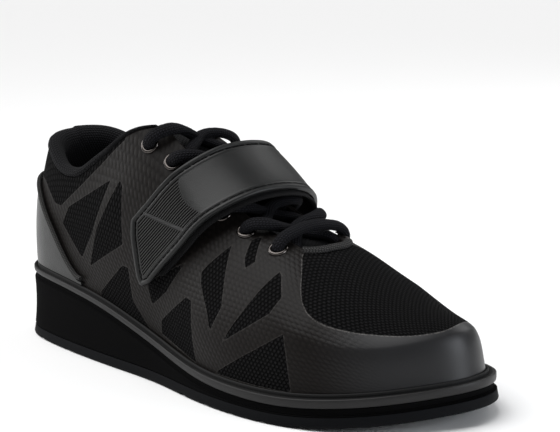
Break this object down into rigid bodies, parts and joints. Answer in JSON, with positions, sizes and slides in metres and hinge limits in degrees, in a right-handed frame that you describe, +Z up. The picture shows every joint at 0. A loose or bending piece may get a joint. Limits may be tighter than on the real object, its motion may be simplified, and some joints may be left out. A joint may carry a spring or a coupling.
{
  "type": "weightlifting shoe",
  "caption": "Right weightlifting shoe with a raised wedge heel, laced throat and an instep strap that turns round a wire ring.",
  "frame": {"origin": "centre of the bounding box's base, on the floor under the sole", "axes": "+X runs from the heel to the toe, +Y to the inner (medial) side, +Z up"},
  "size_m": [0.2926, 0.1128, 0.1203],
  "materials": {
    "outsole": "satin",
    "midsole": "matte",
    "welt": "satin",
    "insole": "matte",
    "upper": "matte",
    "collar": "matte",
    "tongue": "matte",
    "counter": "glossy",
    "piping": "matte",
    "metal": "satin",
    "lace": "matte",
    "strap": "satin"
  },
  "bodies": {
    "root": {"outsole": "outsole", "midsole": "midsole", "welt": "welt", "insole": "insole", "upper": "upper", "collar": "collar", "tongue": "tongue", "heel_counter": "counter", "counter_piping": "piping", "strap": "strap", "strap_base": "strap", "strap_ring": "metal", "ring_tab": "strap", "eyelet_lateral_1": "metal", "eyelet_lateral_2": "metal", "eyelet_lateral_3": "metal", "eyelet_lateral_4": "metal", "eyelet_lateral_5": "metal", "eyelet_lateral_6": "metal", "eyelet_medial_1": "metal", "eyelet_medial_2": "metal", "eyelet_medial_3": "metal", "eyelet_medial_4": "metal", "eyelet_medial_5": "metal", "eyelet_medial_6": "metal", "lace_cross_1": "lace", "lace_cross_2": "lace", "lace_cross_3": "lace", "lace_cross_4": "lace", "lace_cross_5": "lace", "lace_bar": "lace"}
  },
  "joints": []
}
